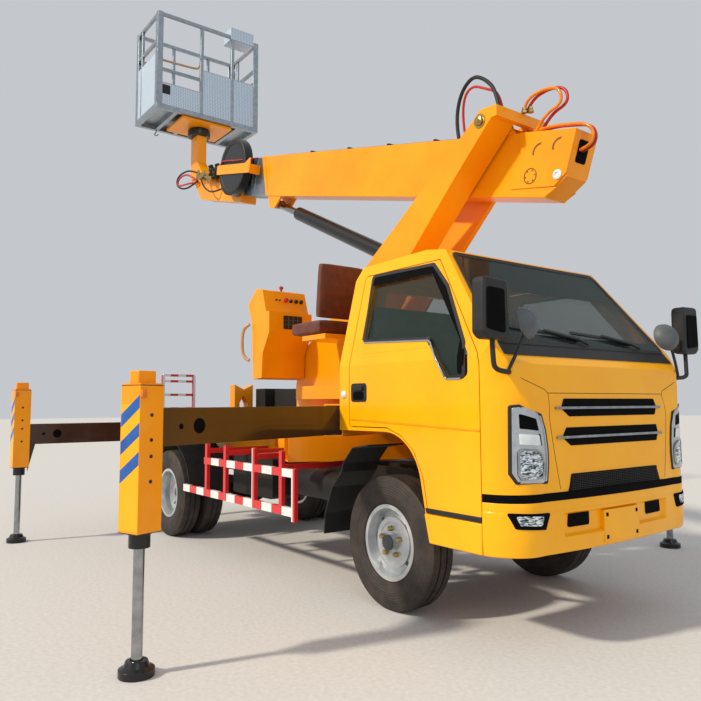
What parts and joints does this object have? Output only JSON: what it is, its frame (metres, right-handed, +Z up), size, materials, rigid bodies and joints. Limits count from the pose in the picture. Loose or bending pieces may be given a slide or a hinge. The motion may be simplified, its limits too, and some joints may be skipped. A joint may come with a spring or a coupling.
{
  "type": "truck-mounted aerial work platform",
  "caption": "Light forward-control truck with outriggers, a slewing inclined column, a telescopic box boom, a lift cylinder and a level work basket.",
  "frame": {"origin": "on the ground, at the middle of the overall length, basket to front bumper", "axes": "+X towards the truck's front, +Y to its left side, +Z up"},
  "size_m": [6.108, 4.8232, 6.052],
  "materials": {
    "yellow_paint": "gloss",
    "orange_paint": "gloss",
    "white_paint": "satin",
    "black_paint": "satin",
    "spring_steel": "matt",
    "wheel_paint": "gloss",
    "tyre_rubber": "matt",
    "black_plastic": "matt",
    "lamp_plastic": "gloss",
    "window_glass": "gloss",
    "seat_cover": "satin",
    "polished_rod": "polished",
    "basket_paint": "gloss"
  },
  "bodies": {
    "chassis": {"chassis_frame": "black_paint", "subframe": "orange_paint", "engine_and_shaft": "black_paint", "front_axle": "black_paint", "rear_axle": "black_paint", "leaf_springs": "spring_steel", "tanks_and_silencer": "black_paint", "side_guards": "white_paint", "mudguards": "black_plastic", "cab_shell": "yellow_paint", "cab_glass": "window_glass", "cab_seats": "seat_cover", "dashboard": "black_plastic", "mirrors": "black_plastic", "head_lamps": "lamp_plastic", "grille": "black_plastic", "front_bumper": "yellow_paint", "deck": "orange_paint", "boom_rest": "orange_paint", "boarding_rail": "orange_paint"},
    "turret": {"column": "yellow_paint", "console": "yellow_paint", "operator_seat": "seat_cover"},
    "boom": {"boom_outer": "yellow_paint"},
    "telescope_2": {"boom_section_2": "white_paint"},
    "telescope_3": {"boom_section_3": "white_paint"},
    "telescope_4": {"boom_section_4": "white_paint"},
    "telescope_5": {"boom_section_5": "orange_paint", "hose_drum": "yellow_paint"},
    "levelling_post": {"basket_post": "orange_paint"},
    "basket_body": {"basket": "basket_paint"},
    "lift_rod": {"boom_cylinder_rod": "polished_rod"},
    "lift_barrel": {"boom_cylinder_barrel": "black_paint"},
    "left_door": {"door_left": "yellow_paint", "door_glass_left": "window_glass"},
    "left_knuckle": {"knuckle_left": "black_paint"},
    "front_left_wheel": {"front_rim_left": "wheel_paint", "front_tyre_left": "tyre_rubber"},
    "rear_left_wheels": {"rear_rims_left": "wheel_paint", "rear_tyres_left": "tyre_rubber"},
    "right_door": {"door_right": "yellow_paint", "door_glass_right": "window_glass"},
    "right_knuckle": {"knuckle_right": "black_paint"},
    "front_right_wheel": {"front_rim_right": "wheel_paint", "front_tyre_right": "tyre_rubber"},
    "rear_right_wheels": {"rear_rims_right": "wheel_paint", "rear_tyres_right": "tyre_rubber"},
    "front_right_beam": {"outrigger_beam_front_right": "orange_paint"},
    "front_right_jack": {"jack_front_right": "polished_rod"},
    "front_left_beam": {"outrigger_beam_front_left": "orange_paint"},
    "front_left_jack": {"jack_front_left": "polished_rod"},
    "rear_right_beam": {"outrigger_beam_rear_right": "orange_paint"},
    "rear_right_jack": {"jack_rear_right": "polished_rod"},
    "rear_left_beam": {"outrigger_beam_rear_left": "orange_paint"},
    "rear_left_jack": {"jack_rear_left": "polished_rod"}
  },
  "joints": [
    {"name": "steer_left", "type": "hinge", "parent": "chassis", "child": "left_knuckle", "pos_m": [1.966, 0.545, 0.4], "axis": [0, 0, 1], "range_deg": [-35, 35]},
    {"name": "front_left_spin", "type": "hinge", "parent": "left_knuckle", "child": "front_left_wheel", "pos_m": [1.966, 0.69, 0.4], "axis": [0, 1, 0], "continuous": true},
    {"name": "rear_left_spin", "type": "hinge", "parent": "chassis", "child": "rear_left_wheels", "pos_m": [-1.134, 0.842, 0.4], "axis": [0, 1, 0], "continuous": true},
    {"name": "door_left_swing", "type": "hinge", "parent": "chassis", "child": "left_door", "pos_m": [2.818, 0.871, 0.655], "axis": [0, 0, -1], "range_deg": [0, 65]},
    {"name": "steer_right", "type": "hinge", "parent": "chassis", "child": "right_knuckle", "pos_m": [1.966, -0.545, 0.4], "axis": [0, 0, 1], "range_deg": [-35, 35]},
    {"name": "front_right_spin", "type": "hinge", "parent": "right_knuckle", "child": "front_right_wheel", "pos_m": [1.966, -0.69, 0.4], "axis": [0, 1, 0], "continuous": true},
    {"name": "rear_right_spin", "type": "hinge", "parent": "chassis", "child": "rear_right_wheels", "pos_m": [-1.134, -0.842, 0.4], "axis": [0, 1, 0], "continuous": true},
    {"name": "door_right_swing", "type": "hinge", "parent": "chassis", "child": "right_door", "pos_m": [2.818, -0.871, 0.655], "axis": [0, 0, 1], "range_deg": [0, 65]},
    {"name": "slew", "type": "hinge", "parent": "chassis", "child": "turret", "pos_m": [0.326, 0, 1.276], "axis": [0, 0, 1], "range_deg": [0, 360]},
    {"name": "boom_lift", "type": "hinge", "parent": "turret", "child": "boom", "pos_m": [2.37, 0, 3.011], "axis": [0, 1, 0], "range_deg": [-20.2, 60.8]},
    {"name": "extend_2", "type": "slide", "parent": "boom", "child": "telescope_2", "axis": [-0.9694, 0, 0.2453], "range_m": [0, 3]},
    {"name": "extend_3", "type": "slide", "parent": "telescope_2", "child": "telescope_3", "axis": [-0.9694, 0, 0.2453], "range_m": [0, 3]},
    {"name": "extend_4", "type": "slide", "parent": "telescope_3", "child": "telescope_4", "axis": [-0.9694, 0, 0.2453], "range_m": [0, 3]},
    {"name": "extend_5", "type": "slide", "parent": "telescope_4", "child": "telescope_5", "axis": [-0.9694, 0, 0.2453], "range_m": [0, 3]},
    {"name": "basket_level", "type": "hinge", "parent": "telescope_5", "child": "levelling_post", "pos_m": [-2.38601, 0, 3.905], "axis": [0, 1, 0], "range_deg": [-60.8, 20.2]},
    {"name": "basket_swing", "type": "hinge", "parent": "levelling_post", "child": "basket_body", "pos_m": [-2.634, 0, 4.58], "axis": [0, 0, 1], "range_deg": [-90, 90]},
    {"name": "lift_rod_tilt", "type": "hinge", "parent": "boom", "child": "lift_rod", "pos_m": [-0.62128, 0, 3.23977], "axis": [0, 1, 0], "range_deg": [-0.618, 0.212]},
    {"name": "lift_stroke", "type": "slide", "parent": "lift_rod", "child": "lift_barrel", "axis": [0.9008, 0, -0.4342], "range_m": [-0.3478, 1.0457]},
    {"name": "beam_front_right", "type": "slide", "parent": "chassis", "child": "front_right_beam", "axis": [-0.3289, 0.9444, 0], "range_m": [0, 1.3977]},
    {"name": "jack_lift_front_right", "type": "slide", "parent": "front_right_beam", "child": "front_right_jack", "axis": [0, 0, 1], "range_m": [0, 0.45]},
    {"name": "beam_front_left", "type": "slide", "parent": "chassis", "child": "front_left_beam", "axis": [-0.3289, -0.9444, 0], "range_m": [0, 1.3977]},
    {"name": "jack_lift_front_left", "type": "slide", "parent": "front_left_beam", "child": "front_left_jack", "axis": [0, 0, 1], "range_m": [0, 0.45]},
    {"name": "beam_rear_right", "type": "slide", "parent": "chassis", "child": "rear_right_beam", "axis": [0, 1, 0], "range_m": [0, 1.125]},
    {"name": "jack_lift_rear_right", "type": "slide", "parent": "rear_right_beam", "child": "rear_right_jack", "axis": [0, 0, 1], "range_m": [0, 0.45]},
    {"name": "beam_rear_left", "type": "slide", "parent": "chassis", "child": "rear_left_beam", "axis": [0, -1, 0], "range_m": [0, 1.125]},
    {"name": "jack_lift_rear_left", "type": "slide", "parent": "rear_left_beam", "child": "rear_left_jack", "axis": [0, 0, 1], "range_m": [0, 0.45]}
  ],
  "couplings": [
    {"joint": "steer_right", "follows": "steer_left", "ratio": 1},
    {"joint": "extend_3", "follows": "extend_2", "ratio": 1},
    {"joint": "extend_4", "follows": "extend_2", "ratio": 1},
    {"joint": "extend_5", "follows": "extend_2", "ratio": 1},
    {"joint": "basket_level", "follows": "boom_lift", "ratio": -1},
    {"joint": "lift_rod_tilt", "follows": "boom_lift", "ratio": -0.01},
    {"joint": "lift_stroke", "follows": "boom_lift", "m_per_rad": 0.985}
  ]
}
